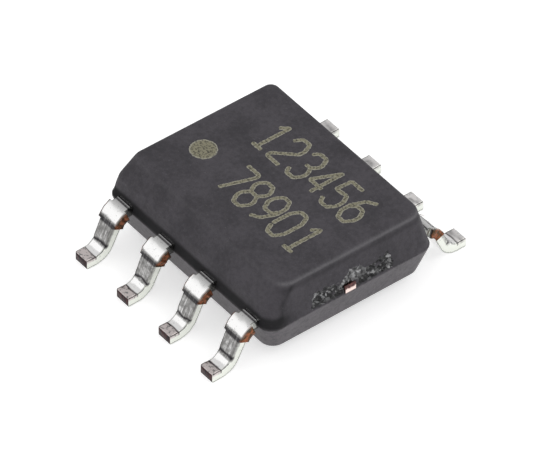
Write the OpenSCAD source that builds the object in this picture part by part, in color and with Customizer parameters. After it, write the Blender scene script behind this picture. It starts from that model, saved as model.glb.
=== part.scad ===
// Eight-lead small outline integrated circuit: a moulded body round a stamped lead frame, a die and
// its bond wires. Origin in the middle of the seating plane, +Z up, +X along the body towards leads
// 4 and 5, +Y towards leads 5 to 8. The body is bevelled along the side of leads 1 to 4.

/* [Body] */
// Length of the body along X at its parting plane
body_l = 4.9; // [4.6:0.05:5.2]
// Width of the body along Y at its parting plane
body_w = 3.96; // [3.7:0.02:4.1]
// Height of the body's top face above the seating plane
body_top = 1.75; // [1.6:0.01:1.8]
// Gap between the body's underside and the seating plane
standoff = 0.25; // [0.1:0.01:0.35]
// Draft of the upper half's walls, in degrees
upper_draft = 12; // [6:0.5:15]
// Draft of the lower half's walls, in degrees
lower_draft = 15.5; // [6:0.5:18]
// Height of the straight band where the mould halves meet
parting_band = 0.02; // [0.01:0.005:0.05]
// How far the lower half stands out past the upper half where they meet
half_step = 0.02; // [0.005:0.005:0.04]
// Radius of the upright corners at the parting plane, at the end of leads 1 and 8
corner_r = 0.18; // [0.14:0.01:0.3]
// Radius of the upright corners at the gated end, beside leads 4 and 5
gate_corner_r = 0.3; // [0.14:0.01:0.4]
// Radius of the underside's corners, as a share of the upright corner above
underside_corner = 0.65; // [0.5:0.05:1]
// Rounding of the edges of the upper half
top_edge_r = 0.12; // [0.04:0.01:0.14]
// Rounding of the edges of the underside
bottom_edge_r = 0.06; // [0.02:0.01:0.07]
// How far the bevel reaches into the top face from where its sharp edge would be
bevel_run = 0.29; // [0.2:0.01:0.4]
// How far the bevel drops below the top face
bevel_drop = 0.4; // [0.3:0.01:0.5]
// Diameter of the ejector mark in the underside
ejector_d = 1.2; // [0.6:0.1:1.6]
// Depth of the ejector mark
ejector_depth = 0.03; // [0.02:0.005:0.05]
// Length of the scar on the end wall where the gate was broken off
scar_l = 1.9; // [1.2:0.1:2.4]
// Height of the scar above the parting plane
scar_h = 0.26; // [0.15:0.01:0.35]
// Depth of the scar
scar_depth = 0.04; // [0.02:0.005:0.06]
// Height of the lip left between the parting plane and the scar
scar_lip = 0.02; // [0.01:0.005:0.04]

/* [Leads] */
// Distance over the toes of opposite leads
lead_span = 6.0; // [5.8:0.05:6.3]
// Distance from one lead to the next
lead_pitch = 1.27; // [1.2:0.01:1.3]
// Width of a lead outside the body
lead_w = 0.4; // [0.3:0.01:0.5]
// Thickness of the sheet that the lead frame is stamped from
frame_t = 0.2; // [0.15:0.01:0.25]
// Height of the lead frame's underside above the seating plane
frame_z = 0.81; // [0.75:0.01:0.9]
// Lean of the riser from upright, in degrees
riser_lean = 25; // [15:1:30]
// Inside radius of the shoulder bend
shoulder_r = 0.25; // [0.15:0.01:0.28]
// Inside radius of the bend above the foot
knee_r = 0.24; // [0.15:0.01:0.26]
// Length of the flat foot from its toe to the bend
foot_l = 0.21; // [0.15:0.01:0.3]
// How far each cut dam-bar stub stands out from the lead's side
dam_stub = 0.06; // [0.02:0.01:0.1]
// Where the dam-bar stub starts along the shoulder bend, in degrees
dam_start = 20; // [10:1:30]
// How far the dam-bar stub runs on down the riser
dam_riser = 0.03; // [0.01:0.01:0.1]

/* [Lead frame inside the body] */
// Width of the bond finger's head
finger_w = 0.8; // [0.6:0.05:1]
// Length of the bond finger's head
finger_l = 0.22; // [0.15:0.01:0.28]
// Length of the die pad along X
pad_l = 2.9; // [2.4:0.1:3.4]
// Width of the die pad along Y
pad_w = 2.3; // [2:0.05:2.4]
// Gap between the die pad and the bond fingers
pad_gap = 0.2; // [0.12:0.01:0.25]
// How far the die pad lies below the rest of the frame
pad_downset = 0.12; // [0.05:0.01:0.2]
// Radius of the die pad's corners
pad_corner_r = 0.12; // [0.05:0.01:0.2]
// Width of a tie bar
tie_w = 0.26; // [0.2:0.01:0.4]
// Length of a tie bar's sloping stretch along X
tie_slope_l = 0.3; // [0.2:0.05:0.4]
// Length of a tie bar's level stretch beside the die pad
tie_level_l = 0.12; // [0.05:0.01:0.2]

/* [Die and wires] */
// Length of the die along X
die_l = 1.7; // [1.2:0.1:2]
// Width of the die along Y
die_w = 1.5; // [1.2:0.1:1.6]
// Thickness of the die
die_t = 0.28; // [0.2:0.01:0.3]
// Thickness of the glue under the die
glue_t = 0.03; // [0.02:0.005:0.05]
// How far the glue shows past the die's edges
glue_margin = 0.06; // [0.03:0.01:0.1]
// Distance from one bond pad on the die to the next
bond_pitch = 0.42; // [0.3:0.01:0.45]
// Distance of the bond pads from the die's edge
bond_inset = 0.12; // [0.08:0.01:0.2]
// Diameter of a bond wire
wire_d = 0.05; // [0.03:0.005:0.06]
// Diameter of the ball at a bond wire's start
ball_d = 0.1; // [0.08:0.01:0.12]
// Height of the ball
ball_h = 0.035; // [0.03:0.005:0.05]
// How high a bond wire would rise over the die if it kept its first direction
wire_rise = 0.3; // [0.15:0.01:0.35]
// Length of the flattened stitch at a bond wire's end
stitch_l = 0.06; // [0.04:0.01:0.1]
// Distance from the bond finger's tip to the end of the stitch
stitch_inset = 0.14; // [0.08:0.01:0.2]

/* [Hidden] */
$fn = 32;
leads_per_side = 4;
lead_count = 2 * leads_per_side;
cut_reach = 0.3; // how far a cut for a tie bar runs past the body's wall
wire_sides = 8;
wire_steps = 12;
bend_steps = 12;
scar_steps = 20; // points along the scar's ragged upper edge

parting_z = frame_z + frame_t / 2; // the mould halves close on the middle of the frame
frame_top = frame_z + frame_t;
shoulder_out_r = shoulder_r + frame_t;
knee_out_r = knee_r + frame_t;
finger_tip = pad_w / 2 + pad_gap; // distance of the fingers' tips from the middle line
neck = finger_tip + finger_l + (finger_w - lead_w) / 2; // where the finger is as narrow as the lead
pad_z = frame_z - pad_downset;
glue_z = pad_z + frame_t;
die_z = glue_z + glue_t;
die_top = die_z + die_t;

// Centres of the two bends of a lead, as [distance from the middle line, height]
knee_centre = [lead_span / 2 - foot_l, knee_out_r];
riser_normal = [cos(riser_lean), sin(riser_lean)];
riser_offset = knee_centre * riser_normal - knee_r; // of the riser's outer face
shoulder_z = frame_top - shoulder_out_r;
shoulder_centre = [(riser_offset - shoulder_out_r - shoulder_z * riser_normal[1]) / riser_normal[0],
                   shoulder_z];
riser_dir = [riser_normal[1], -riser_normal[0]];

// +1 for the leads on the +Y side, -1 for those beside the bevel
function side(i) = i > leads_per_side ? 1 : -1;
// Place of lead i along its row, counted in steps from the row's middle
function row_step(i) = side(i) < 0 ? i - (leads_per_side + 1) / 2 : (3 * leads_per_side + 1) / 2 - i;
function lead_x(i) = row_step(i) * lead_pitch;

function unit(v) = v / norm(v);

// Centre of the circle of radius r that touches both edges meeting at p, from a and towards b
function tucked(a, p, b, r) =
    let (u = unit(a - p), v = unit(b - p))
    p + unit(u + v) * r / sqrt((1 - u * v) / 2);

// Half the size of the body that a wall of this draft leaves for a ball of radius r at height z
function wall_half(half, z, draft, r) = half - abs(z - parting_z) * tan(draft) - r / cos(draft);

function bezier(p, t) = let (s = 1 - t)
    s * s * s * p[0] + 3 * s * s * t * p[1] + 3 * s * t * t * p[2] + t * t * t * p[3];

// A ring that gives a corner its plan radius and the edge round it the radius edge_r. Its place is
// that of the ball of radius edge_r which it stands for, and in points from there into the body.
module corner_ring(place, in, plan_r, edge_r) {
    inset = max(plan_r - edge_r, edge_r / 100);
    translate(place + inset * in) rotate_extrude() {
        translate([0, -edge_r]) square([inset, 2 * edge_r]);
        translate([inset, 0]) intersection() {
            circle(edge_r);
            translate([0, -edge_r]) square(2 * edge_r);
        }
    }
}

// Turns a profile drawn as [along, up] and its thickness to stand along +Y
module upright() rotate([90, 0, 90]) children();

// Puts what is drawn for a lead on the +Y side at the place of lead i
module at_lead(i) translate([lead_x(i), 0, 0]) rotate(side(i) < 0 ? 180 : 0) children();

// Points along an arc, from angle a0 to a1
function arc(centre, r, a0, a1) =
    [for (k = [0:bend_steps]) let (a = a0 + (a1 - a0) * k / bend_steps) centre + r * [cos(a), sin(a)]];

module rounded_plate(l, w, r) {
    square([l - 2 * r, w], center = true);
    square([l, w - 2 * r], center = true);
    for (x = [-1, 1], y = [-1, 1]) translate([x * (l / 2 - r), y * (w / 2 - r)]) circle(r);
}

// Radius of the upright corners at the end that x points to
function plan_r(x) = x > 0 ? gate_corner_r : corner_r;

// The corners of the band where the halves meet, smaller by inset all round, from z upwards
module band_corners(inset, z) for (x = [-1, 1], y = [-1, 1]) let (r = plan_r(x))
    translate([x * (body_l / 2 - inset - r), y * (body_w / 2 - inset - r), z])
        cylinder(r = r, h = parting_band / 2);

// Drafted walls from the band up to the rounded edges of the top face, with the bevel
module upper_half() {
    side_at = function (z) body_w / 2 - half_step - (z - parting_z) * tan(upper_draft);
    bevel_z = body_top - bevel_drop;
    bevel_low = [-side_at(bevel_z), bevel_z];
    bevel_high = [bevel_run - side_at(body_top), body_top];
    rear_high = [side_at(body_top), body_top];
    foot = body_w / 2 - half_step;
    edges = [tucked([-foot, parting_z], bevel_low, bevel_high, top_edge_r),
             tucked(bevel_low, bevel_high, rear_high, top_edge_r),
             tucked(bevel_high, rear_high, [foot, parting_z], top_edge_r)];
    hull() {
        band_corners(half_step, parting_z);
        for (edge = edges, end = [-1, 1]) {
            x = wall_half(body_l / 2 - half_step, edge[1], upper_draft, top_edge_r);
            corner_ring([end * x, edge[0], edge[1]], [-end, -sign(edge[0]), 0], plan_r(end), top_edge_r);
        }
    }
}

// Drafted walls from the band down to the rounded edges of the underside
module lower_half() {
    z = standoff + bottom_edge_r;
    x = wall_half(body_l / 2, z, lower_draft, bottom_edge_r);
    y = wall_half(body_w / 2, z, lower_draft, bottom_edge_r);
    hull() {
        band_corners(0, parting_z - parting_band / 2);
        for (end = [-1, 1], flank = [-1, 1])
            corner_ring([end * x, flank * y, z], [-end, -flank, 0],
                        underside_corner * plan_r(end), bottom_edge_r);
    }
}

// Where the gate was broken off: a ragged hollow in the end wall, just over the parting plane. Two
// sine waves out of step let its upper edge waver between four tenths and the whole of scar_h.
module gate_scar() {
    ragged = function (k) scar_h * (0.72 + 0.16 * sin(115 * k) + 0.12 * sin(67 * k + 40));
    outline = concat([[scar_l / 2, scar_lip], [-scar_l / 2, scar_lip]],
        [for (k = [0:scar_steps]) [scar_l * ((k + 0.5) / (scar_steps + 1) - 0.5), ragged(k)]]);
    translate([body_l / 2 - half_step, 0, parting_z]) rotate([90, 0, 90]) rotate([-upper_draft, 0, 0])
        translate([0, 0, -scar_depth]) linear_extrude(2 * scar_depth) polygon(outline);
}

module body_form() difference() {
    union() {
        lower_half();
        upper_half();
    }
    gate_scar();
}

module mould_body() color([0.16, 0.15, 0.17]) difference() {
    body_form();
    for (i = [1:lead_count]) {
        lead_form(i);
        wire_form(i);
    }
    pad_form(body_l / 2 + cut_reach);
    glue_form();
    die_form();
    translate([0, 0, standoff - ejector_depth]) cylinder(d = ejector_d, h = 2 * ejector_depth);
}

// The part of a lead from its bond finger's head out to a distance from the middle line
module finger(outer) {
    translate([0, 0, frame_z]) linear_extrude(frame_t) polygon([
        [-finger_w / 2, finger_tip], [finger_w / 2, finger_tip], [finger_w / 2, finger_tip + finger_l],
        [lead_w / 2, neck], [lead_w / 2, outer],
        [-lead_w / 2, outer], [-lead_w / 2, neck], [-finger_w / 2, finger_tip + finger_l]]);
}

// The bent strip in its upright plane, from the neck of the finger over both bends to the toe
module strip_profile() polygon(concat(
    [[neck, frame_z], [neck, frame_top]],
    arc(shoulder_centre, shoulder_out_r, 90, riser_lean),
    arc(knee_centre, knee_r, 180 + riser_lean, 270),
    [[lead_span / 2, frame_t], [lead_span / 2, 0]],
    arc(knee_centre, knee_out_r, 270, 180 + riser_lean),
    arc(shoulder_centre, shoulder_r, riser_lean, 90)));

// What is left of the dam bar beside the strip, round the bend and a little way down the riser
module stub_profile() {
    from = 90 - dam_start;
    end = shoulder_centre + dam_riser * riser_dir;
    polygon(concat(
        arc(shoulder_centre, shoulder_out_r, from, riser_lean),
        [end + shoulder_out_r * riser_normal, end + shoulder_r * riser_normal],
        arc(shoulder_centre, shoulder_r, riser_lean, from)));
}

// A whole lead: its bond finger, the bent strip and a dam-bar stub on either side
module lead_form(i) at_lead(i) {
    finger(neck + lead_w);
    upright() translate([0, 0, -lead_w / 2]) linear_extrude(lead_w) strip_profile();
    for (edge = [-lead_w / 2 - dam_stub, lead_w / 2])
        upright() translate([0, 0, edge]) linear_extrude(dam_stub) stub_profile();
}

module lead(i) color([0.78, 0.77, 0.75]) lead_form(i);

// The paddle and its two tie bars, which rise to the frame's level and run out to x = reach
module pad_form(reach) {
    slope_start = pad_l / 2 + tie_level_l;
    slope_end = slope_start + tie_slope_l;
    translate([0, 0, pad_z]) linear_extrude(frame_t) rounded_plate(pad_l, pad_w, pad_corner_r);
    for (end = [0, 1]) mirror([end, 0, 0]) rotate([90, 0, 0]) translate([0, 0, -tie_w / 2])
        linear_extrude(tie_w) polygon([
            [0, pad_z], [slope_start, pad_z], [slope_end, frame_z], [reach, frame_z],
            [reach, frame_top], [slope_end, frame_top], [slope_start, glue_z], [0, glue_z]]);
}

module die_pad() color([0.72, 0.45, 0.3]) pad_form(body_l / 2);

module glue_form() translate([-die_l / 2 - glue_margin, -die_w / 2 - glue_margin, glue_z])
    cube([die_l + 2 * glue_margin, die_w + 2 * glue_margin, glue_t]);

module die_attach() color([0.75, 0.75, 0.78]) glue_form();

module die_form() translate([-die_l / 2, -die_w / 2, die_z]) cube([die_l, die_w, die_t]);

module silicon_die() color([0.35, 0.37, 0.45]) die_form();

// A tube along a path in the upright plane that turns by heading about the start
module tube(start, heading, path, r) {
    last = len(path) - 1;
    across = [-sin(heading), cos(heading), 0];
    place = function (p) start + [p[0] * cos(heading), p[0] * sin(heading), p[1]];
    dir = [for (k = [0:last]) unit(path[min(k + 1, last)] - path[max(k - 1, 0)])];
    ring = function (k, j) let (a = 360 * (j + 0.5) / wire_sides)
        place(path[k] + r * cos(a) * [-dir[k][1], dir[k][0]]) + r * sin(a) * across;
    polyhedron(
        points = [for (k = [0:last], j = [0:wire_sides - 1]) ring(k, j)],
        faces = concat(
            [[for (j = [wire_sides - 1:-1:0]) j]],
            [for (k = [0:last - 1], j = [0:wire_sides - 1]) let (n = (j + 1) % wire_sides)
                [k * wire_sides + j, k * wire_sides + n,
                 (k + 1) * wire_sides + n, (k + 1) * wire_sides + j]],
            [[for (j = [0:wire_sides - 1]) last * wire_sides + j]]));
}

// The wire leaves its ball upright, arcs over the die's edge and lies down on the bond finger
module wire_form(i) {
    ball = [row_step(i) * bond_pitch, side(i) * (die_w / 2 - bond_inset), die_top];
    stitch = [lead_x(i), side(i) * (finger_tip + stitch_inset)];
    run = norm(stitch - [ball[0], ball[1]]);
    heading = atan2(stitch[1] - ball[1], stitch[0] - ball[0]);
    rest = frame_top - die_top + wire_d / 2 * cos(180 / wire_sides); // flat side on the finger
    landing = run - stitch_l;
    arch = [[0, ball_h / 2], [0, wire_rise], [landing * 0.7, wire_rise], [landing, rest]];
    path = concat([for (k = [0:wire_steps]) bezier(arch, k / wire_steps)],
                  [[landing + wire_d / 2, rest], [run, rest]]);
    translate(ball) cylinder(d = ball_d, h = ball_h);
    tube(ball, heading, path, wire_d / 2);
}

module bond_wire(i) color([0.85, 0.68, 0.35]) wire_form(i);

mould_body();
die_pad();
die_attach();
silicon_die();
lead(1);  // lead_1
lead(2);  // lead_2
lead(3);  // lead_3
lead(4);  // lead_4
lead(5);  // lead_5
lead(6);  // lead_6
lead(7);  // lead_7
lead(8);  // lead_8
bond_wire(1);  // bond_wire_1
bond_wire(2);  // bond_wire_2
bond_wire(3);  // bond_wire_3
bond_wire(4);  // bond_wire_4
bond_wire(5);  // bond_wire_5
bond_wire(6);  // bond_wire_6
bond_wire(7);  // bond_wire_7
bond_wire(8);  // bond_wire_8
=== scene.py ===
import bpy
import numpy as np
from mathutils import Matrix, Vector


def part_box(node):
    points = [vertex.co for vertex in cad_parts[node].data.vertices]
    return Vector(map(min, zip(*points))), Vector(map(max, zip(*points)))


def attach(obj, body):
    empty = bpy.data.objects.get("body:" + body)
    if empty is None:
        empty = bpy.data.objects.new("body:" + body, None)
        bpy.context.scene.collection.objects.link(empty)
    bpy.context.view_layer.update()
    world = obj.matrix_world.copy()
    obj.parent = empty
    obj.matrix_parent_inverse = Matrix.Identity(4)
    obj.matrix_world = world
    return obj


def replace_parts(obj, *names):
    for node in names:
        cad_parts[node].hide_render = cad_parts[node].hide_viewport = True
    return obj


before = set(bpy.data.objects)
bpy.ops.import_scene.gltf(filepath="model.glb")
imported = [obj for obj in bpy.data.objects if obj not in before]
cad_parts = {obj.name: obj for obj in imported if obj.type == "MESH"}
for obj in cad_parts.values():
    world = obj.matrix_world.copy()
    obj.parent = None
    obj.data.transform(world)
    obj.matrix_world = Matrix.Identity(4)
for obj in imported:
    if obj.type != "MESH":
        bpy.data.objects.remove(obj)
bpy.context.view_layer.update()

mm = 0.001
print("frame loaded:", len(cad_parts), "nodes")


# A mesh from whole arrays. Each strip is rings[i, j]: ring i is closed over j, neighbouring rings are
# joined by quads, and a fan to the ring's own middle closes each end. Marks are one value per point.
def skin(name, strips, finish, marks):
    points, faces, values, base = [], [], {key: [] for key in marks}, 0
    for number, rings in enumerate(strips):
        count, around = rings.shape[:2]
        i, j = np.meshgrid(np.arange(count - 1), np.arange(around), indexing="ij")
        a = base + i * around + j
        b = base + i * around + (j + 1) % around
        faces += np.stack([a, b, b + around, a + around], -1).reshape(-1, 4).tolist()
        ends = [rings[0].mean(0), rings[-1].mean(0)]
        points += [rings.reshape(-1, 3), np.array(ends)]
        middle = base + count * around
        ring = np.arange(around)
        following = (ring + 1) % around
        last = base + (count - 1) * around
        faces += np.stack([ring * 0 + middle, base + following, base + ring], -1).tolist()
        faces += np.stack([ring * 0 + middle + 1, last + ring, last + following], -1).tolist()
        for key in values:
            grid = marks[key][number]
            values[key] += [grid.ravel(), [grid[0].mean(), grid[-1].mean()]]
        base = middle + 2
    mesh = bpy.data.meshes.new(name)
    mesh.from_pydata((np.concatenate(points) * mm).tolist(), [], faces)
    for key in values:
        mesh.attributes.new(key, "FLOAT", "POINT").data.foreach_set("value", np.concatenate(values[key]))
    mesh.polygons.foreach_set("use_smooth", [True] * len(mesh.polygons))
    mesh.update()
    if signedVolume(mesh) < 0:
        mesh.flip_normals()
    mesh.materials.append(finish)
    piece = bpy.data.objects.new(name, mesh)
    bpy.context.scene.collection.objects.link(piece)
    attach(piece, "root")
    return piece


# Sum over the triangles of corner . (corner x corner) / 6: positive when the faces point outwards
def signedVolume(mesh):
    mesh.calc_loop_triangles()
    corners = np.zeros(len(mesh.loop_triangles) * 3, np.int32)
    mesh.loop_triangles.foreach_get("vertices", corners)
    place = np.zeros(len(mesh.vertices) * 3)
    mesh.vertices.foreach_get("co", place)
    a, b, c = place.reshape(-1, 3)[corners.reshape(-1, 3)].transpose(1, 0, 2)
    return np.einsum("ij,ij->", a, np.cross(b, c)) / 6


# 0 below low, 1 above high, and 3 t^2 - 2 t^3 between
def smoothStep(low, high, value):
    t = np.clip((value - low) / (high - low), 0, 1)
    return t * t * (3 - 2 * t)


# Smooth noise of about unit height: random values on a square lattice, blended with a smooth step
def lumpyNoise(x, y, seed):
    table = np.random.default_rng(seed).uniform(-1, 1, (64, 64))
    ix, iy = np.floor(x).astype(int), np.floor(y).astype(int)
    fx, fy = smoothStep(0, 1, x - ix), smoothStep(0, 1, y - iy)
    low = table[ix % 64, iy % 64] * (1 - fx) + table[(ix + 1) % 64, iy % 64] * fx
    high = table[ix % 64, (iy + 1) % 64] * (1 - fx) + table[(ix + 1) % 64, (iy + 1) % 64] * fx
    return low * (1 - fy) + high * fy


# One output of a material's node tree, so that masks can be written as sums
class Signal:
    def __init__(self, finish, socket):
        self.finish, self.socket = finish, socket

    # A Math node on two values
    def joined(self, operation, first, second):
        return self.finish.node("Math", {"operation": operation}, {0: first, 1: second})

    def __add__(self, other):
        return self.joined("ADD", self, other)

    def __radd__(self, other):
        return self.joined("ADD", other, self)

    def __sub__(self, other):
        return self.joined("SUBTRACT", self, other)

    def __rsub__(self, other):
        return self.joined("SUBTRACT", other, self)

    def __mul__(self, other):
        return self.joined("MULTIPLY", self, other)

    def __rmul__(self, other):
        return self.joined("MULTIPLY", other, self)


# One material: a Principled shader and the nodes that feed it
class Finish:
    def __init__(self, name, metallic=0.0, roughness=0.5, specular=0.5):
        self.material = bpy.data.materials.new(name)
        self.material.use_nodes = True
        self.tree = self.material.node_tree
        self.shader = self.tree.nodes["Principled BSDF"]
        self.shader.inputs["Metallic"].default_value = metallic
        self.shader.inputs["Roughness"].default_value = roughness
        self.shader.inputs["Specular IOR Level"].default_value = specular

    # Any node: its type, its settings, the values or links of its sockets, and which output is wanted
    def node(self, kind, settings=None, sockets=None, output=0):
        made = self.tree.nodes.new("ShaderNode" + kind)
        for key, value in (settings or {}).items():
            setattr(made, key, value)
        for key, value in (sockets or {}).items():
            if isinstance(value, Signal):
                self.tree.links.new(value.socket, made.inputs[key])
            else:
                made.inputs[key].default_value = value
        return Signal(self, made.outputs[output])

    # Where a point is on the piece, in millimetres, stretched by a factor along each axis
    def place(self, stretch=(1, 1, 1)):
        where = self.node("TexCoord", output="Object")
        scale = tuple(s / mm for s in stretch)
        return self.node("VectorMath", {"operation": "MULTIPLY"}, {0: where, 1: scale})

    def noise(self, place, perMm, detail=3.0, rough=0.55):
        sockets = {"Vector": place, "Scale": perMm, "Detail": detail, "Roughness": rough}
        return self.node("TexNoise", {}, sockets)

    def mark(self, name):
        return self.node("Attribute", {"attribute_name": name}, output="Fac")

    # 0 below low, 1 above high, with a soft step between
    def step(self, signal, low, high):
        sockets = {"Value": signal, "From Min": low, "From Max": high}
        return self.node("MapRange", {"interpolation_type": "SMOOTHSTEP"}, sockets)

    def blend(self, factor, under, over):
        wide = [c if isinstance(c, Signal) else (*c, 1) for c in (under, over)]
        return self.node("Mix", {"data_type": "RGBA"}, {0: factor, 6: wide[0], 7: wide[1]}, 2)

    def set(self, **inputs):
        for key, value in inputs.items():
            socket = self.shader.inputs[key.replace("_", " ")]
            if isinstance(value, Signal):
                self.tree.links.new(value.socket, socket)
            else:
                socket.default_value = value
        return self

    # Relief of that many microns where the height goes from 0 to 1
    def relief(self, height, microns):
        bump = self.node("Bump", {}, {"Height": height, "Distance": microns * 1e-6, "Strength": 1.0})
        return self.set(Normal=bump)


compoundLook = {
    "base": (0.027, 0.024, 0.030),
    "pale": (0.059, 0.053, 0.063),
    # Painted reflection of the floor below the parting line
    "lower": (0.092, 0.080, 0.092),
    # Painted shade
    "shaded": (0.004, 0.004, 0.005),
    # Pale flecks, and a painted highlight on the top edges
    "fleckAndPaintedHighlight": (0.15, 0.145, 0.155),
    # Painted shade and painted light of the broken facets
    "paintedFacetShade": (0.004, 0.004, 0.005),
    "paintedFacetLight": (0.55, 0.55, 0.56),
    "roughness": 0.70,
    "grainMicrons": 2.2,
    "cloudsPerMm": 1.6,
    "mottlePerMm": 11,
    "flecksPerMm": 21,
    "grainsPerMm": 34,
}


# Mould compound: charcoal grey, clouded by slow noise and peppered with pale filler grains. A painted
# highlight runs along the top edges, strongest at the +X end (mark "edge"). Below the parting line it is
# smoother and painted paler, a painted reflection of the floor (mark "lower"). Painted shade darkens the
# recessed strip of the front wall, the wall under the top edge and beside the upright corner at the gated
# end (mark "shaded"). In the broken patch (mark "broken") each facet is painted its own grey between
# painted shade and painted light (mark "flake").
def compoundFinish():
    look = compoundLook
    f = Finish("mouldCompound")
    place = f.place()
    cloud = f.noise(place, look["cloudsPerMm"], 4)
    grain = f.noise(place, look["grainsPerMm"], 3, 0.7)
    mottle = f.noise(place, look["mottlePerMm"], 2)
    fleck = f.step(f.noise(place, look["flecksPerMm"], 1), 0.70, 0.76)
    lower = f.mark("lower")
    broken = f.mark("broken")
    shaded = f.mark("shaded") * (0.6 + cloud * 0.6)
    body = f.blend(f.step(cloud + grain * 0.5 + mottle * 0.6, 0.75, 1.35), look["base"], look["pale"])
    body = f.blend(fleck * 0.2, body, look["fleckAndPaintedHighlight"])
    # Painted reflection of the floor: paler below the parting line
    body = f.blend(lower * f.step(mottle + grain, 0.7, 1.3), body, look["lower"])
    # Painted shade
    body = f.blend(shaded, body, look["shaded"])
    # Painted highlight along the top edges
    body = f.blend(f.mark("edge") * (0.2 + grain), body, look["fleckAndPaintedHighlight"])
    # Broken patch: each facet painted its own grey between painted shade and painted light
    scar = f.blend(f.mark("paintedFacetLight") * (0.3 + grain * 1.6), look["paintedFacetShade"], look["paintedFacetLight"])
    f.set(Base_Color=f.blend(broken, body, scar))
    f.set(Roughness=look["roughness"] - grain * 0.08 - broken * 0.25 - lower * 0.2 + shaded * 0.3)
    return f.relief(grain + f.noise(place, 9, 2) * 0.5, look["grainMicrons"]).material


tinLook = {
    "bright": (0.89, 0.885, 0.88),
    # Dull spots, and the painted dark reflection on the riser
    "dullSpotsAndPaintedRiserReflection": (0.24, 0.235, 0.23),
    # Painted greenish reflection on the side faces
    "side": (0.80, 0.82, 0.76),
    # Painted dark reflections and shade; also mixed into the cut toe
    "dark": (0.036, 0.034, 0.037),
    "foot": (0.62, 0.56, 0.55),
    "toe": (0.085, 0.050, 0.050),
    "roughness": 0.14,
    "streakStretch": (30, 3, 3),
    "spotsPerMm": 15,
    "reliefMicrons": 1.6,
}
copperLook = {
    "cut": (0.31, 0.105, 0.048),
    "brown": (0.075, 0.045, 0.022),
    "pad": (0.60, 0.29, 0.15),
    "torn": (0.95, 0.78, 0.72),
    "pulled": (0.17, 0.075, 0.07),
    "pulledDark": (0.10, 0.06, 0.06),
}
printLook = {
    "centre": (0.25, 0.235, 0.165),
    "centrePit": (0.085, 0.080, 0.062),
    "rim": (0.38, 0.365, 0.30),
    "rimPit": (0.21, 0.205, 0.17),
    "pitsPerMm": 24,
}


# Tin over copper: bright where it was only bent. The riser is streaked along the strip by the forming tool
# and painted dark grey, a painted reflection of the dark horizon (mark "wiped"). The side faces are painted
# greenish, a painted reflection of the backdrop (mark "side"). Warm grey on the foot (mark "foot"). Painted
# dark reflections and shade lie in the creases, where the shoulder bend ends, beside the body and on the
# side faces near it, with a dark blotch on the rear feet (mark "dark"). The cut toe is dark brown (mark
# "toe"), and the cut dam-bar stubs are bare copper (mark "copper").
def tinFinish():
    look = tinLook
    f = Finish("tinnedLead", metallic=1.0)
    place = f.place()
    streak = f.noise(f.place(look["streakStretch"]), 1.0, 3, 0.6)
    spots = f.noise(place, look["spotsPerMm"], 3, 0.6)
    riserStreaksAndPaintedReflection = f.mark("riserStreaksAndPaintedReflection") * f.step(streak + spots * 0.6, 0.35, 0.95)
    # Painted greenish reflection of the backdrop on the side faces
    tin = f.blend(f.mark("side"), look["bright"], look["side"])
    # Painted dark reflection of the horizon on the riser, over streaks
    tin = f.blend(riserStreaksAndPaintedReflection, tin, look["dullSpotsAndPaintedRiserReflection"])
    tin = f.blend(f.mark("foot"), tin, f.blend(f.step(spots, 0.5, 0.66), look["foot"], look["dullSpotsAndPaintedRiserReflection"]))
    tin = f.blend(f.step(spots, 0.60, 0.70) * 0.3, tin, look["dullSpotsAndPaintedRiserReflection"])
    # Painted dark reflections and shade in the creases, where the bend ends and near the body
    tin = f.blend(f.mark("dark") * (0.75 + streak * 0.4), tin, look["dark"])
    copper = f.blend(f.step(spots, 0.36, 0.60), copperLook["cut"], copperLook["brown"])
    toe = f.blend(f.step(streak, 0.42, 0.62), look["toe"], look["dark"])
    bare = f.mark("copper")
    cut = f.mark("toe")
    f.set(Base_Color=f.blend(bare, f.blend(cut, tin, toe), copper))
    f.set(Roughness=look["roughness"] + spots * 0.10 + riserStreaksAndPaintedReflection * 0.16 + bare * 0.22 + cut * 0.3)
    height = streak * 0.6 + spots * 0.4 + bare * f.noise(place, 40, 2)
    return f.relief(height, look["reliefMicrons"]).material


# Bare copper of the pad. On the torn end of its tie bar (mark "torn") the metal is bright pink low down
# and dark red where it was pulled off (mark "pulled").
def copperFinish():
    look = copperLook
    f = Finish("bareCopper", metallic=1.0, roughness=0.35)
    spots = f.noise(f.place(), 8, 3)
    fine = f.noise(f.place(), 30, 2)
    pad = f.blend(f.step(spots, 0.35, 0.65), look["cut"], look["pad"])
    pulled = f.blend(f.step(fine, 0.4, 0.6), look["pulled"], look["pulledDark"])
    torn = f.blend(f.mark("pulled"), look["torn"], pulled)
    f.set(Base_Color=f.blend(f.mark("torn"), pad, torn))
    return f.relief(spots + fine * 0.5, 1.0).material


# Laser print: olive, pitted where the pulses burnt deeper, with a paler rim (mark "rim" is 1 at its edge)
def printFinish():
    look = printLook
    f = Finish("laserPrint", roughness=0.8, specular=0.25)
    place = f.place()
    pits = f.step(f.noise(place, look["pitsPerMm"], 2, 0.6), 0.47, 0.62)
    centre = f.blend(pits, look["centre"], look["centrePit"])
    rim = f.blend(pits, look["rim"], look["rimPit"])
    f.set(Base_Color=f.blend(f.mark("rim"), centre, rim))
    return f.relief(f.noise(place, 22, 3), 2.5).material


compound, tin, copper, laserPrint = compoundFinish(), tinFinish(), copperFinish(), printFinish()
print("finishes made")


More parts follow.
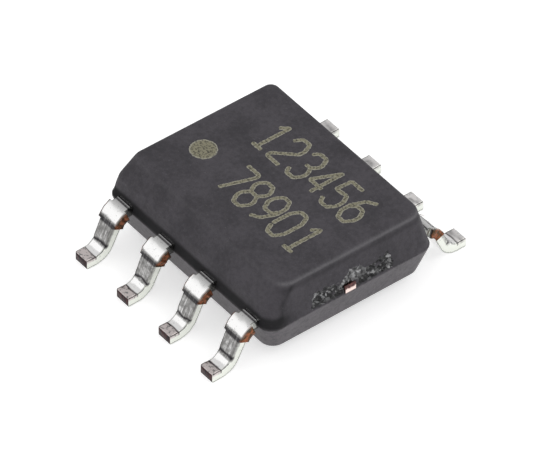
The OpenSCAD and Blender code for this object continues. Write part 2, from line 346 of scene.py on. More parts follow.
bodyLow, bodyHigh = [np.array(corner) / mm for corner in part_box("mould_body")]
padHigh = np.array(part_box("die_pad")[1]) / mm
frameThick = 0.2
partingZ = padHigh[2] - frameThick / 2
mould = {
    "upperDraft": 12, "lowerDraft": 15.5, "step": 0.02, "lip": 0.025, "topEdge": 0.12, "bottomEdge": 0.06,
    "corners": (0.18, 0.3), "undersideCorner": 0.95, "bevelRun": 0.29, "bevelDrop": 0.4,
    "bandTop": 0.19, "bandDepth": 0.015, "ejector": 0.6, "ejectorDepth": 0.03,
}
scar = {
    "along": (-0.97, -0.85, -0.55, -0.22, 0.0, 0.25, 0.45, 0.7, 0.88, 0.97),
    "roof": (0.14, 0.30, 0.35, 0.24, 0.40, 0.40, 0.28, 0.33, 0.38, 0.16),
    "depth": 0.05, "cells": 520, "seed": 11,
}
upperLean, lowerLean = [np.tan(np.radians(mould[key])) for key in ("upperDraft", "lowerDraft")]


# A polyline whose inner corners are rounded: each corner becomes an arc that touches both its edges
def roundedLine(points, radii, steps=14):
    out = [points[0]]
    for before, corner, after, radius in zip(points, points[1:], points[2:], radii):
        before, corner, after = map(np.array, (before, corner, after))
        u = (before - corner) / np.linalg.norm(before - corner)
        v = (after - corner) / np.linalg.norm(after - corner)
        half = np.arccos(np.clip(u @ v, -1, 1)) / 2
        centre = corner + (u + v) / np.linalg.norm(u + v) * radius / np.sin(half)
        a, b = corner + u * radius / np.tan(half), corner + v * radius / np.tan(half)
        turn = np.linspace(0, 1, steps)[:, None]
        spokes = (a - centre) * (1 - turn) + (b - centre) * turn
        out += list(centre + spokes / np.linalg.norm(spokes, axis=1, keepdims=True) * radius)
    return np.array(out + [points[-1]])


# Half widths against height for an end wall, the rear wall and the bevelled front wall
def wallProfiles():
    bottom, top = bodyLow[2], bodyHigh[2]
    lines = []
    for half, bevelled in ((bodyHigh[0], False), (bodyHigh[1], False), (bodyHigh[1], True)):
        inner = half - mould["step"]
        foot = half - (partingZ - bottom) * lowerLean
        head = inner - (top - partingZ) * upperLean
        lipZ = partingZ - mould["lip"]
        points = [(0, bottom), (foot, bottom), (half - mould["lip"] * lowerLean, lipZ), (inner, partingZ)]
        radii = [mould["bottomEdge"], 0.04, 0.01]
        if bevelled:
            bevelZ = top - mould["bevelDrop"]
            points += [(inner - (bevelZ - partingZ) * upperLean, bevelZ), (head - mould["bevelRun"], top)]
            radii += [mould["topEdge"], mould["topEdge"]]
        else:
            points += [(head, top)]
            radii += [mould["topEdge"]]
        lines.append(roundedLine(points + [(0, top)], radii)[1:-1])
    return lines


# The broken patch over the end wall at (y, height over the parting line). Each of many random cells is a
# small tilted facet; the patch fades out along a ragged border. Gives its depth, its share and how pale
# each facet is painted: painted light and shade per facet, palest above the tie bar.
def scarFacets(y, up):
    low, high, top = scar["along"][0], scar["along"][-1], max(scar["roof"])
    rng = np.random.default_rng(scar["seed"])
    cellY, cellUp = rng.uniform(low, high, scar["cells"]), rng.uniform(-0.05, top + 0.05, scar["cells"])
    tiltY, tiltUp = rng.uniform(-0.9, 0.9, (2, scar["cells"]))
    rise = rng.uniform(0.1, 1.0, scar["cells"]) ** 1.5 * scar["depth"]
    # How pale each facet is painted: painted light and shade per facet
    pale = rng.uniform(0, 1, scar["cells"]) ** 6 * 0.8
    middle = np.exp(-((cellY - 0.12) / 0.22) ** 2) * smoothStep(0.12, 0.2, cellUp)
    pale = np.clip(pale + middle * rng.uniform(0, 1, scar["cells"]) ** 2, 0, 1)
    near = np.argmin((y[..., None] - cellY) ** 2 + 1.4 * (up[..., None] - cellUp) ** 2, axis=-1)
    facet = rise[near] + tiltY[near] * (y - cellY[near]) + tiltUp[near] * (up - cellUp[near])
    ragged = 0.05 * lumpyNoise(y * 9 + 7, up * 9, 3) + 0.03 * lumpyNoise(y * 26, up * 26 + 5, 4)
    roof = np.interp(y, scar["along"], scar["roof"])
    patch = smoothStep(0, 0.02, roof + ragged - up) * smoothStep(-0.004, 0.012, up + ragged * 0.1)
    patch *= smoothStep(0, 0.04, y - low + ragged) * smoothStep(0, 0.04, high - y + ragged)
    patch *= smoothStep(-0.62, -0.3, lumpyNoise(y * 5.6 + 0.4, up * 9, 8))
    return np.clip(facet + 0.012, 0.004, scar["depth"]) * patch, patch, pale[near]


# Heights of the rings up the wall, closest in the edge roundings, at the parting line and over the patch
def bodyLevels(bottom, top):
    edge = top - mould["topEdge"]
    sweep = np.radians(np.linspace(0, 90, 12))
    parts = [
        bottom + mould["bottomEdge"] * (1 - np.cos(sweep[:8])),
        np.linspace(bottom + 0.06, partingZ - 0.09, 10),
        np.linspace(partingZ - 0.08, partingZ, 14),
        partingZ + np.arange(0.006, 0.33, 0.008),
        np.linspace(partingZ + 0.34, edge, 16),
        edge + mould["topEdge"] * np.sin(sweep[1:]),
    ]
    return np.unique(np.round(np.concatenate(parts), 6))


# Rings that close a flat face at height z: from the wall's outline, drawn in towards the first radius,
# then circles of the given radii at the given heights
def closingRings(ring, z, radii, heights):
    angle = np.arctan2(ring[:, 1], ring[:, 0])
    circle = np.stack([np.cos(angle), np.sin(angle)], -1)
    shares = [0.99, 0.9, 0.7, 0.45, 0.2]
    flat = [ring[:, :2] * s + circle * radii[0] * (1 - s) for s in shares] + [circle * r for r in radii]
    heights = [z] * len(shares) + heights
    return np.array([np.column_stack([p, np.full(len(p), h)]) for p, h in zip(flat, heights)])


# Underside and top: the underside has a shallow round ejector mark
def closeBody(rows, bottom, top):
    r, d = mould["ejector"], mould["ejectorDepth"]
    radii = [r + 0.03, r, r - 0.02, r - 0.04, r * 0.5, 0.02]
    heights = [bottom, bottom, bottom + d * 0.8, bottom + d, bottom + d, bottom + d]
    floor = closingRings(rows[0], bottom, radii, heights)
    roof = closingRings(rows[-1], top, [0.6, 0.3, 0.02], [top] * 3)
    return floor, roof


# The body is the plan outline at each level, with the broken patch and the band set into its walls
def makeBody():
    lines = wallProfiles()
    bottom, top = bodyLow[2], bodyHigh[2]
    level = bodyLevels(bottom, top)
    endHalf, rearHalf, frontHalf = [np.interp(level, line[:, 1], line[:, 0]) for line in lines]

    # Upright corners keep one radius up the wall and lose what the edge rounding takes at top and bottom
    straight = np.where(level > partingZ, bodyHigh[0] - mould["step"] - (level - partingZ) * upperLean,
                        bodyHigh[0] - (partingZ - level) * lowerLean)
    narrowing = np.interp(level, [bottom, partingZ], [mould["undersideCorner"], 1])
    away, gate = [np.maximum(r * narrowing - np.abs(straight - endHalf), 0.01) for r in mould["corners"]]
    rows = planRows(endHalf, rearHalf, frontHalf, away, gate, level)
    endHalf, frontHalf, gate = endHalf[:, None], frontHalf[:, None], gate[:, None]

    # The broken patch eats into the wall at +X just above the parting line
    above = rows[..., 2] - partingZ
    depth, patch, paintedFacetLight = scarFacets(rows[..., 1], above)
    wall = (rows[..., 0] > endHalf - 1e-6) & (above > 0)
    rows[..., 0] -= np.where(wall, depth, 0)
    broken = np.where(wall, patch, 0)

    # The band of the front wall that was closed by the dam bar lies a little deeper, and painted shade
    # darkens it
    bandEnd = smoothStep(mould["bandTop"] - 0.07, mould["bandTop"] + 0.06, above)
    band = smoothStep(-0.07, -0.03, above) * (1 - bandEnd)
    band = band * smoothStep(0.6, 0.95, -rows[..., 1] / frontHalf)
    rows[..., 1] += band * mould["bandDepth"]

    # Painted shade under the top edge and beside the upright corner at the gated end; a painted highlight
    # along the top edge
    atEnd = smoothStep(0.9, 0.99, rows[..., 0] / endHalf)
    underEdge = np.exp(-((rows[..., 2] - top + 0.17) / 0.05) ** 2)
    upright = np.exp(-((rows[..., 1] + frontHalf - gate) / 0.07) ** 2)
    upright = upright * smoothStep(0.02, 0.1, above) * smoothStep(0.06, 0.16, top - rows[..., 2])
    shaded = np.clip(band + atEnd * (0.3 * underEdge + 0.5 * upright), 0, 1)
    # Painted highlight along the top edge, strongest at the +X end
    fleckAndPaintedHighlight = np.exp(-((rows[..., 2] - top + 0.065) / 0.030) ** 2) * (0.12 + 0.88 * atEnd)

    floor, roof = closeBody(rows, bottom, top)
    rings = np.concatenate([floor[::-1], rows, roof])
    plain = [np.zeros(part.shape[:2]) for part in (floor, roof)]
    marks = {key: [np.concatenate([plain[0], grid, plain[1]])]
             for key, grid in (("broken", broken), ("shaded", shaded), ("paintedFacetLight", paintedFacetLight), ("edge", fleckAndPaintedHighlight))}
    # Below the parting line: smoother, and painted paler as a painted reflection of the floor
    marks["lower"] = [1 - smoothStep(partingZ - 0.03, partingZ + 0.01, rings[..., 2])]
    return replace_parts(skin("moulded_shell", [rings], compound, marks), "mould_body")


# Plan outline at each level: four straight sides joined by quarter circles
def planRows(endHalf, rearHalf, frontHalf, away, gate, level):
    e, r, f, a, g = [v[:, None] for v in (endHalf, rearHalf, frontHalf, away, gate)]
    turn = np.radians(np.linspace(0, 90, 11))[None, :]
    fine = np.linspace(scar["along"][0] - 0.06, scar["along"][-1] + 0.06, 190)
    ease, share = np.linspace(0, 1, 9)[None, 1:-1], np.linspace(0, 1, 34)[None, 1:-1]
    gateY = np.concatenate([g - f + (fine[0] - g + f) * ease, np.tile(fine, (len(level), 1)),
                            fine[-1] + (r - g - fine[-1]) * ease], 1)
    sides = [
        (e, gateY),
        (e - g + g * np.cos(turn), r - g + g * np.sin(turn)),
        (e - g + (a + g - 2 * e) * share, r),
        (a - e - a * np.sin(turn), r - a + a * np.cos(turn)),
        (-e, r - a + (2 * a - r - f) * share),
        (a - e - a * np.cos(turn), a - f - a * np.sin(turn)),
        (a - e + (2 * e - a - g) * share, -f),
        (e - g + g * np.sin(turn), g - f - g * np.cos(turn)),
    ]
    sides = [np.broadcast_arrays(*side) for side in sides]
    x, y = [np.concatenate([side[k] for side in sides], 1) for k in (0, 1)]
    return np.stack([x, y, np.broadcast_to(level[:, None], x.shape)], -1)


shell = makeBody()
print("body made:", len(shell.data.polygons), "faces")


leadCount = 8
strip = {
    "width": 0.4, "thick": frameThick, "lean": 25, "shoulder": 0.25, "knee": 0.24, "foot": 0.21,
    "damStub": 0.06, "damStart": 20, "damRiser": 0.03, "fingerWidth": 0.8, "fingerLength": 0.22,
    "fingerTip": 1.35, "edge": 0.022, "root": bodyHigh[1] - 0.03, "toeTaper": 0.02,
}
formed = {
    "lip": 0.010, "kneeCrease": 0.012, "footCrease": 0.008, "ripple": 0.0035, "waver": 0.0025,
    "stubRagged": 0.14, "toeNarrow": 0.010, "toeThin": 0.014, "rearFoot": 0.35, "seed": 20,
}


# The strip's middle line in the upright plane, at distances s from the finger's tip: level, down round
# the shoulder, along the riser, back round the knee, and level along the foot. Gives the place along Y,
# the height, the slope, the distances at which the parts start, and the whole length.
def stripPath(s, toe, topZ):
    thick, lean = strip["thick"], np.radians(strip["lean"])
    turn = np.pi / 2 - lean
    outR, kneeOut = strip["shoulder"] + thick, strip["knee"] + thick
    normal = np.array([np.cos(lean), np.sin(lean)])
    knee = np.array([toe - strip["foot"], kneeOut])
    shoulderZ = topZ - outR
    shoulderY = (knee @ normal - strip["knee"] - outR - shoulderZ * normal[1]) / normal[0]
    riser = (knee - [shoulderY, shoulderZ]) @ [normal[1], -normal[0]]
    level = shoulderY - strip["fingerTip"]
    r1, r2 = strip["shoulder"] + thick / 2, strip["knee"] + thick / 2
    starts = np.cumsum([0, level, r1 * turn, riser, r2 * turn])
    flat, foot = np.clip(s, 0, level), np.clip(s - starts[4], 0, None)
    a = np.clip((s - starts[1]) / r1, 0, turn)
    down = np.clip(s - starts[2], 0, riser)
    b = np.clip((s - starts[3]) / r2, 0, turn)
    y = strip["fingerTip"] + flat + r1 * np.sin(a) + down * np.cos(turn)
    y = y + r2 * (np.sin(turn) - np.sin(turn - b)) + foot
    z = topZ - thick / 2 - r1 * (1 - np.cos(a)) - down * np.sin(turn) - r2 * (np.cos(turn - b) - np.cos(turn))
    return y, z, a - b, starts, starts[4] + strip["foot"]


# Distances along the strip at which its section stands, closest in the bends and at the cuts
def leadStations(starts, total, damFrom, damTo):
    parts = [
        np.linspace(0, starts[1], 60),
        np.linspace(starts[1] - 0.05, starts[2] + 0.02, 60),
        np.linspace(starts[2], starts[3], 36),
        np.linspace(starts[3] - 0.02, starts[4] + 0.02, 70),
        np.linspace(starts[4], total, 26),
        damFrom + np.array([-0.008, -0.001]),
        damTo + np.array([0.001, 0.008]),
        total - np.array([0.016, 0.008, 0.002]),
    ]
    return np.unique(np.round(np.concatenate(parts), 5))


# Half width and half thickness: the finger's head with its flared neck, the plain strip, the ragged
# dam-bar stubs, and the toe, which tapers a little and is rounded by its cut
def leadHalves(s, starts, total, inDam, seed):
    flare = (strip["fingerWidth"] - strip["width"]) / 2
    half = strip["width"] / 2 + flare * np.clip(1 - (s - strip["fingerLength"]) / flare, 0, 1)
    ragged = 1 + formed["stubRagged"] * lumpyNoise(s * 18, s * 0, seed)
    half = half + strip["damStub"] * inDam * ragged
    half = half - strip["toeTaper"] * smoothStep(starts[1], starts[4], s)
    half = half - formed["toeNarrow"] * smoothStep(total - 0.012, total, s)
    half = half + formed["waver"] * lumpyNoise(s * 14, s * 0 + 5, seed)
    thin = strip["thick"] / 2 - formed["toeThin"] * smoothStep(total - 0.014, total, s)
    return half[:, None], thin[:, None]


# Section: a rectangle with round edges, walked once round. Each point has its share of the half width and
# half thickness (u, v) and, on an edge, the direction of the rounding (cu, cv).
def leadSection():
    turn = np.radians(np.linspace(0, 90, 5))
    face, wall = np.linspace(-1, 1, 15)[1:-1], np.linspace(-1, 1, 7)[1:-1]
    top = np.column_stack([face, np.ones_like(face), 0 * face, 0 * face])
    bottom = np.column_stack([-face, -np.ones_like(face), 0 * face, 0 * face])
    right = np.column_stack([np.ones_like(wall), -wall, 0 * wall, 0 * wall])
    left = np.column_stack([-np.ones_like(wall), wall, 0 * wall, 0 * wall])
    bend = [np.column_stack([np.full(5, u), np.full(5, v), cu, cv]) for u, v, cu, cv in (
        (1, 1, np.sin(turn), np.cos(turn)), (1, -1, np.cos(turn), -np.sin(turn)),
        (-1, -1, -np.sin(turn), -np.cos(turn)), (-1, 1, -np.cos(turn), np.sin(turn)))]
    return np.concatenate([top, bend[0], right, bend[1], bottom, bend[2], left, bend[3]]).T


# Where a section's point lies: on a flat its share of the half size, on an edge the corner's centre plus
# the rounding's radius along its direction
def sectionPlace(share, direction, half, radius):
    flat = np.where(direction == 0, np.sign(share) * radius * (np.abs(share) == 1), 0)
    return share * (half - radius) + direction * radius + flat


# Creases where the riser meets the knee and the knee meets the foot: bell curves over the distance along
# the strip, which waver and widen with noise
def leadCreases(x, along, starts, number, seed):
    wavy = 0.03 * lumpyNoise(x * 6 + 11, 0 * x + number, seed + 20)
    broad = 0.036 + 0.012 * lumpyNoise(x * 8 + 3, 0 * x + number, seed + 50)
    first = np.exp(-(((along - starts[3] + 0.016 + wavy) / broad) ** 2))
    second = np.exp(-(((along - starts[4] + 0.004 - wavy * 0.5) / 0.017) ** 2))
    return first, second


# A lead is the section carried along the strip's path: across along X, and out along the path's normal
def makeLead(number, finish):
    low, high = [np.array(corner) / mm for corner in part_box(f"lead_{number}")]
    row = 1 if low[1] > 0 else -1
    seed = formed["seed"] + number
    toe, topZ, middle = max(abs(low[1]), abs(high[1])), high[2], (low[0] + high[0]) / 2
    starts, total = stripPath(np.zeros(1), toe, topZ)[3:]
    damFrom = starts[1] + (strip["shoulder"] + strip["thick"] / 2) * np.radians(strip["damStart"])
    damTo = starts[2] + strip["damRiser"]
    s = leadStations(starts, total, damFrom, damTo)
    y, z, slope = stripPath(s, toe, topZ)[:3]
    inDam = smoothStep(damFrom - 0.006, damFrom, s) * (1 - smoothStep(damTo, damTo + 0.006, s))
    halfX, halfZ = leadHalves(s, starts, total, inDam, seed)
    u, v, cu, cv = leadSection()
    x = sectionPlace(u, cu, halfX, strip["edge"])
    w = sectionPlace(v, cv, halfZ, strip["edge"])

    # Tool marks on the outer face: a lip at the root, the creases, and a faint ripple
    along = s[:, None]
    root = along - (strip["root"] - strip["fingerTip"])
    outer = smoothStep(0.2, 0.9, v)[None, :]
    shown = smoothStep(-0.02, 0.03, root)
    first, second = leadCreases(x, along, starts, number, seed)
    lip = formed["lip"] * np.exp(-((root - 0.035) / 0.014) ** 2)
    crease = -formed["kneeCrease"] * first - formed["footCrease"] * second
    ripple = formed["ripple"] * lumpyNoise(x * 7 + 3, along * 9 + 0 * x, seed + 40)
    w = w + outer * shown * (lip + crease + ripple)
    nY, nZ = np.sin(slope)[:, None], np.cos(slope)[:, None]
    place = np.stack([middle + x, row * (y[:, None] + w * nY), z[:, None] + w * nZ], -1)
    place[..., 2] = np.maximum(place[..., 2], 0)

    # Marks for the finish: each is 1 where its colour lies
    sideways = np.where((np.abs(u) == 1) & (cu == 0), 1, np.abs(cu))
    bare = smoothStep(0.6, 0.9, sideways)[None, :] * inDam[:, None]
    toeCut = smoothStep(total - 0.006, total - 0.002, along)
    riserEnd = smoothStep(starts[3] + 0.02, starts[3] + 0.10, along)
    # Painted dark reflection of the horizon on the riser, over streaks
    riserStreaksAndPaintedReflection = outer * (smoothStep(starts[2] - 0.07, starts[2] - 0.03, along) * (1 - riserEnd))
    strength = formed["rearFoot"] if row > 0 else 1
    foot = outer * smoothStep(starts[4] - 0.03, starts[4] + 0.01, along) * strength
    blotch = smoothStep(-0.2, 0.5, lumpyNoise(x * 7 + number, along * 9, seed + 70) + 0.2)
    blotch = (row > 0) * blotch * np.exp(-((along - starts[4] - 0.07) / 0.07) ** 2)
    # Painted dark reflections: a line where the shoulder bend ends, and a dark gradient beside the body at
    # the root
    bendEnd = smoothStep(-0.03, -0.005, along - starts[2]) * (1 - smoothStep(0.05, 0.085, along - starts[2]))
    beyond = np.exp(-((root - 0.065) / 0.012) ** 2) + 0.7 * (1 - smoothStep(0.0, 0.26, root))
    # The dark mark: painted dark reflections and shade, with the blotch on the rear feet
    dark = 0.55 * blotch + 1.1 * first + 0.85 * second + 0.95 * bendEnd + beyond * shown
    dark = outer * np.clip(dark, 0, 1)
    # Side faces: a painted greenish reflection, and painted shade on them from the body out to the dam-bar
    # stub
    side = smoothStep(0.8, 1, sideways)[None, :]
    dark = np.maximum(dark, 0.7 * side * (1 - smoothStep(damFrom - 0.04, damFrom, along)))
    marks = {"copper": bare, "toe": toeCut, "riserStreaksAndPaintedReflection": riserStreaksAndPaintedReflection, "foot": foot, "dark": dark, "side": side}
    marks = {key: [grid + 0 * x] for key, grid in marks.items()}
    piece = skin(f"gull_wing_lead_{number}", [place], finish, marks)
    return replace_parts(piece, f"lead_{number}")


for number in range(1, leadCount + 1):
    makeLead(number, tin)
print("leads made")


pad = {
    "length": 2.9, "width": 2.3, "corner": 0.12, "downset": 0.12, "level": 0.12, "slope": 0.3,
    "barWidth": 0.25, "tornY": -0.055, "tornLow": 0.90, "tornHigh": 1.06, "pulled": 0.56, "seed": 5,
}


# The plate: a rectangle with round corners, at its two heights
def padPlate(low, high):
    r = pad["corner"]
    turn = np.radians(np.arange(0, 91, 15))
    quarter = np.stack([r * np.cos(turn), r * np.sin(turn)], -1)
    spin = [np.array([[np.cos(a), np.sin(a)], [-np.sin(a), np.cos(a)]]) for a in np.pi / 2 * np.arange(4)]
    middle = np.array([pad["length"] / 2 - r, pad["width"] / 2 - r])
    signs = [(1, 1), (-1, 1), (-1, -1), (1, -1)]
    plan = np.concatenate([quarter @ m + middle * sign for m, sign in zip(spin, signs)])
    return np.array([np.column_stack([plan, np.full(len(plan), z)]) for z in (low, high)])


# A tie bar's section, walked once round: shares of its half width across and of its thickness up
def barOutline():
    across, up = np.linspace(-1, 1, 25), np.linspace(0, 1, 19)
    return np.concatenate([
        np.column_stack([across[:-1], 0 * across[:-1]]),
        np.column_stack([1 + 0 * up[:-1], up[:-1]]),
        np.column_stack([across[:0:-1], 1 + 0 * across[:0:-1]]),
        np.column_stack([-1 + 0 * up[:0:-1], up[:0:-1]]),
    ])


# A tie bar is a band that climbs from the plate to the end wall. Its end face closes in rings, so that its
# points can be set back by noise. The end towards +X was bent and torn a little: it swings aside and its
# top half is pulled back.
def tieBar(end, low):
    p = pad
    start = p["length"] / 2 + p["level"]
    tornHeight = p["tornHigh"] - p["tornLow"]
    x = np.array([p["length"] / 2 - 0.1, start, start + p["slope"], *(padHigh[0] - [0.12, 0.05, 0.006])])
    bottom = np.interp(x, [start, start + p["slope"]], [low, low + p["downset"]])
    swing = smoothStep(x[3], x[4], x) * (end > 0)
    bottom = bottom + swing * (p["tornLow"] - bottom)
    thick = frameThick + swing * (tornHeight - frameThick)
    across, up = barOutline().T
    y = across * p["barWidth"] / 2 + swing[:, None] * p["tornY"]
    z = bottom[:, None] + up * thick[:, None]
    rings = np.stack([np.broadcast_to(x[:, None], y.shape), y, z], -1)

    centre = rings[-1].mean(0)
    face = np.array([centre + (rings[-1] - centre) * k for k in np.linspace(0.94, 0.02, 14)])
    face[..., 0] = padHigh[0] - 0.001
    y, z = face[..., 1], face[..., 2]
    share = (z - p["tornLow"]) / tornHeight + 0.12 * lumpyNoise(y * 14, z * 0, p["seed"])
    upper = smoothStep(p["pulled"] - 0.06, p["pulled"] + 0.06, share)
    face[..., 0] -= upper * (0.014 + 0.012 * lumpyNoise(y * 40, z * 40, p["seed"])) * (end > 0)
    rings = np.concatenate([rings, face])
    torn, pulled = np.zeros(rings.shape[:2]), np.ones(rings.shape[:2])
    torn[len(x) - 2:] = end > 0
    pulled[len(x):] = upper
    rings[..., 0] *= end
    return rings, torn, pulled


# The plate and its two tie bars in one skin
def makePad():
    low, high = padHigh[2] - frameThick - pad["downset"], padHigh[2] - pad["downset"]
    plate = padPlate(low, high)
    plain = np.zeros(plate.shape[:2])
    strips, torn, pulled = zip((plate, plain, plain), tieBar(1, low), tieBar(-1, low))
    marks = {"torn": torn, "pulled": pulled}
    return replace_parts(skin("pad_and_tie_bars", strips, copper, marks), "die_pad")


makePad()
print("pad made")


printing = {
    "glyphWidth": 0.37, "glyphHeight": 0.80, "pitch": 0.505, "stroke": 0.092, "step": 0.012,
    "rows": [("rear_print", "123456", -1.19, 0.42), ("front_print", "78901", -0.68, -0.84)],
    "dot": (-1.52, -0.42, 0.27), "height": 0.003,
}
glyphs = {
    "0": [[(0, .24), (0, .76), (.26, 1), (.74, 1), (1, .76), (1, .24), (.74, 0), (.26, 0), (0, .24)]],
    "1": [[(.15, .78), (.55, 1), (.55, 0)], [(.15, 0), (.95, 0)]],
    "2": [[(0, .76), (.24, 1), (.76, 1), (1, .78), (1, .6), (0, .12), (0, 0), (1, 0)]],
    "3": [[(0, .82), (.24, 1), (.76, 1), (1, .8), (1, .68), (.76, .52), (.35, .52)],
          [(.76, .52), (1, .34), (1, .2), (.76, 0), (.24, 0), (0, .18)]],
    "4": [[(.72, 0), (.72, 1), (0, .28), (1, .28)]],
    "5": [[(1, 1), (.06, 1), (0, .56), (.74, .6), (1, .4), (1, .2), (.74, 0), (.24, 0), (0, .18)]],
    "6": [[(.85, 1), (.3, .84), (0, .5), (0, .22), (.26, 0), (.74, 0), (1, .22), (1, .38), (.74, .58),
           (.26, .58), (0, .4)]],
    "7": [[(0, 1), (1, 1), (1, .86), (.35, 0)]],
    "8": [[(.26, .52), (0, .7), (0, .82), (.26, 1), (.74, 1), (1, .82), (1, .7), (.74, .52), (1, .34),
           (1, .2), (.74, 0), (.26, 0), (0, .2), (0, .34), (.26, .52), (.74, .52)]],
    "9": [[(.15, 0), (.7, .16), (1, .5), (1, .78), (.74, 1), (.26, 1), (0, .78), (0, .62), (.26, .42),
           (.74, .42), (1, .6)]],
}


# A stroke: the corner points at even steps, softened by a short running mean
def softStroke(points):
    points = np.array(points)
    length = np.concatenate([[0], np.cumsum(np.linalg.norm(np.diff(points, axis=0), axis=1))])
    s = np.linspace(0, length[-1], max(6, int(length[-1] / printing["step"])))
    line = np.stack([np.interp(s, length, points[:, k]) for k in (0, 1)], -1)
    padded = np.concatenate([line[:1]] * 3 + [line] + [line[-1:]] * 3)
    return sum(padded[k:k + len(line)] for k in range(7)) / 7


# A low mound along a stroke: its width wavers, its ends are round, and its underside is in the body
def strokeMound(line, seed):
    along = np.gradient(line, axis=0)
    along /= np.linalg.norm(along, axis=1, keepdims=True)
    normal = np.stack([-along[:, 1], along[:, 0]], -1)
    reach = np.minimum(np.arange(len(line)), np.arange(len(line))[::-1]) * printing["step"]
    half = printing["stroke"] / 2
    width = half * np.sqrt(np.clip(1 - (1 - np.clip(reach / half, 0, 1)) ** 2, 0.04, 1))
    angle = np.radians(np.arange(0, 360, 30))
    wander, around = np.meshgrid(np.arange(len(line)) * 0.45, angle, indexing="ij")
    waver = 1 + 0.16 * lumpyNoise(wander, around + 9, seed)
    off = width[:, None] * np.cos(angle)[None, :] * waver
    rise = np.where(np.sin(angle) > -1e-9, printing["height"], 0.004) * np.sin(angle)
    flat = line[:, None, :] + off[..., None] * normal[:, None, :]
    place = np.concatenate([flat, np.broadcast_to(bodyHigh[2] + rise, off.shape)[..., None]], -1)
    rim = np.broadcast_to(smoothStep(0.45, 0.9, np.abs(np.cos(angle))), off.shape)
    return place, rim


# Each row of signs is one skin, with a mound for every stroke
def makePrint():
    for name, text, startX, baseY in printing["rows"]:
        strips, rims = [], []
        for number, letter in enumerate(text):
            for stroke in glyphs[letter]:
                points = np.array(stroke) * [printing["glyphWidth"], printing["glyphHeight"]]
                line = softStroke(points + [startX + number * printing["pitch"], baseY])
                place, rim = strokeMound(line, 60 + number)
                strips.append(place)
                rims.append(rim)
        skin(name, strips, laserPrint, {"rim": rims})


# Round orientation mark: a low disc with a wavering rim
def makeDot():
    x, y, radius = printing["dot"]
    angle = np.linspace(0, 2 * np.pi, 90, endpoint=False)
    waver = 1 + 0.03 * lumpyNoise(angle * 9, angle * 0, 71)
    share = np.array([0.97, 1.0, 0.97, 0.86, 0.5, 0.1])[:, None]
    height = np.array([-0.004, 0, 0.0024, 0.003, 0.003, 0.003])[:, None] + 0 * angle
    reach = radius * share * waver
    rings = np.stack([x + reach * np.cos(angle), y + reach * np.sin(angle), bodyHigh[2] + height], -1)
    rim = smoothStep(0.86, 0.97, share) + 0 * angle
    skin("orientation_dot", [rings], laserPrint, {"rim": [rim]})


makePrint()
makeDot()
print("print made")


inside = {
    "glue": {"dark": (0.42, 0.42, 0.44), "light": (0.62, 0.62, 0.64), "metallic": 0.5,
             "roughness": 0.5, "perMm": 12},
    "wire": {"dark": (0.75, 0.52, 0.2), "light": (0.9, 0.68, 0.32), "metallic": 1.0,
             "roughness": 0.25, "perMm": 20},
    "die": {"block": (0.18, 0.2, 0.3), "otherBlock": (0.3, 0.26, 0.3), "line": (0.55, 0.5, 0.42),
            "lineWidth": 0.03, "perMm": 9.0},
}


# Glue and wires: a colour of their own, clouded by noise
def cloudedFinish(name, look):
    f = Finish(name, look["metallic"], look["roughness"])
    spots = f.noise(f.place(), look["perMm"], 4)
    f.set(Base_Color=f.blend(f.step(spots, 0.35, 0.65), look["dark"], look["light"]))
    return f.relief(spots, 0.8).material


# The die's face: rows of blocks in two dark blue greys, crossed by pale lines
def siliconFinish():
    look = inside["die"]
    f = Finish("silicon", metallic=0.6, roughness=0.25)
    sockets = {"Vector": f.place(), "Scale": look["perMm"], "Mortar Size": look["lineWidth"]}
    for socket, key in (("Color1", "block"), ("Color2", "otherBlock"), ("Mortar", "line")):
        sockets[socket] = (*look[key], 1)
    return f.set(Base_Color=f.node("TexBrick", {}, sockets)).material


# The die, the glue and the wires keep their shapes and only get a finish
def dressInside():
    gold = cloudedFinish("bondWire", inside["wire"])
    finishes = {"die_attach": cloudedFinish("dieGlue", inside["glue"]), "silicon_die": siliconFinish()}
    finishes.update({f"bond_wire_{number}": gold for number in range(1, leadCount + 1)})
    for node, finish in finishes.items():
        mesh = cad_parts[node].data
        mesh.materials.clear()
        mesh.materials.append(finish)


dressInside()
print("inside pieces dressed")


studio = {
    "floorSize": 0.5, "floorColour": (0.88, 0.88, 0.88), "floorGlow": 0.5, "sky": 0.74,
    "flagRadius": 0.012, "flagHeight": 0.0016,
    "key": {"place": (-0.112, -0.122, 0.09), "size": 0.17, "power": 0.032},
    "fill": {"place": (0.11, 0.09, 0.14), "size": 0.13, "power": 0.05},
}


# A square of pale paper that glows a little to the camera and to reflections
def makeFloor():
    half = studio["floorSize"] / 2
    mesh = bpy.data.meshes.new("floor")
    corners = [(-half, -half, 0), (half, -half, 0), (half, half, 0), (-half, half, 0)]
    mesh.from_pydata(corners, [], [(0, 1, 2, 3)])
    f = Finish("floorPaper", roughness=0.9, specular=0.1)
    paths = [f.node("LightPath", output=f"Is {kind} Ray") for kind in ("Camera", "Glossy", "Transmission")]
    seen = f.node("Math", {"operation": "MAXIMUM"}, {0: paths[0], 1: paths[1]})
    seen = f.node("Math", {"operation": "MAXIMUM"}, {0: seen, 1: paths[2]})
    f.set(Base_Color=(*studio["floorColour"], 1), Emission_Color=(1, 1, 1, 1))
    f.set(Emission_Strength=seen * studio["floorGlow"])
    mesh.materials.append(f.material)
    floor = bpy.data.objects.new("floor", mesh)
    bpy.context.scene.collection.objects.link(floor)


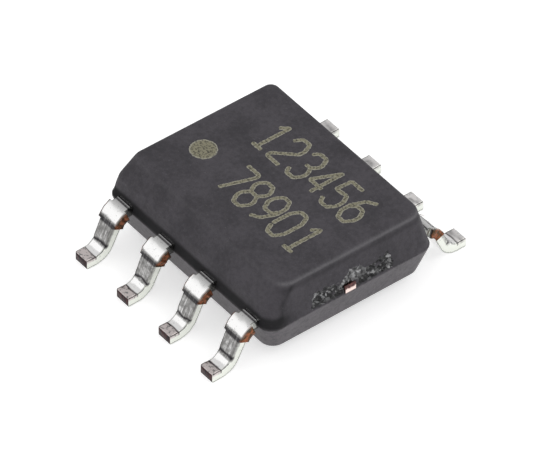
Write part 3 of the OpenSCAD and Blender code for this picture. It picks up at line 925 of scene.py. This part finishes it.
# A black flag: a low ring round the table that only reflections see, so that the bends show dark lines
def makeFlag():
    count = 96
    angle = np.linspace(0, 2 * np.pi, count, endpoint=False)
    x, y = studio["flagRadius"] * np.cos(angle), studio["flagRadius"] * np.sin(angle)
    wall = [np.stack([x, y, 0 * angle + height], -1) for height in (0.0, studio["flagHeight"])]
    j = np.arange(count)
    following = (j + 1) % count
    quads = np.stack([j, following, following + count, j + count], -1)
    mesh = bpy.data.meshes.new("flag")
    mesh.from_pydata(np.concatenate(wall).tolist(), [], quads.tolist())
    cloth = Finish("flagCloth", roughness=1.0, specular=0.0).set(Base_Color=(0.01, 0.01, 0.01, 1))
    mesh.materials.append(cloth.material)
    flag = bpy.data.objects.new("flag", mesh)
    flag.visible_camera = flag.visible_diffuse = flag.visible_shadow = False
    bpy.context.scene.collection.objects.link(flag)


# A plain sky and two large soft lamps that point at the object
def makeLight():
    world = bpy.data.worlds.new("tent")
    world.use_nodes = True
    sky = world.node_tree.nodes["Background"]
    sky.inputs["Color"].default_value = (1, 1, 1, 1)

    # The sky lights the object at its own level and is plain white to the camera
    path = world.node_tree.nodes.new("ShaderNodeLightPath")
    level = world.node_tree.nodes.new("ShaderNodeMapRange")
    level.inputs["To Min"].default_value, level.inputs["To Max"].default_value = studio["sky"], 1.0
    world.node_tree.links.new(path.outputs["Is Camera Ray"], level.inputs["Value"])
    world.node_tree.links.new(level.outputs["Result"], sky.inputs["Strength"])
    bpy.context.scene.world = world
    for name in ("key", "fill"):
        lamp = bpy.data.lights.new(name, "AREA")
        lamp.size, lamp.energy = studio[name]["size"], studio[name]["power"]
        holder = bpy.data.objects.new(name, lamp)
        holder.location = studio[name]["place"]
        holder.rotation_euler = (-Vector(studio[name]["place"])).to_track_quat("-Z", "Y").to_euler()
        bpy.context.scene.collection.objects.link(holder)


camera = {"azimuth": 51.55, "elevation": 43.28, "roll": 0.59, "distance": 150.0, "lens": 535.69,
          "aim": (-0.018, 0.516)}


# The camera looks along -back from its distance; aim slides it along its own right and up
def makeCamera():
    a, e, r = [np.radians(camera[key]) for key in ("azimuth", "elevation", "roll")]
    back = np.array([np.sin(a) * np.cos(e), -np.cos(a) * np.cos(e), np.sin(e)])
    level = np.array([np.cos(a), np.sin(a), 0])
    rise = np.cross(back, level)
    right = level * np.cos(r) + rise * np.sin(r)
    up = rise * np.cos(r) - level * np.sin(r)
    place = (back * camera["distance"] + right * camera["aim"][0] + up * camera["aim"][1]) * mm
    data = bpy.data.cameras.new("camera")
    data.lens, data.sensor_width = camera["lens"], 36
    data.clip_start, data.clip_end = 0.01, 10
    holder = bpy.data.objects.new("camera", data)
    turned = Matrix((right, up, back)).transposed().to_4x4()
    turned.translation = Vector(place)
    holder.matrix_world = turned
    bpy.context.scene.collection.objects.link(holder)
    bpy.context.scene.camera = holder


makeFloor()
makeFlag()
makeLight()
makeCamera()
bpy.context.scene.view_settings.view_transform = "Standard"
bpy.context.view_layer.update()
print("studio set")
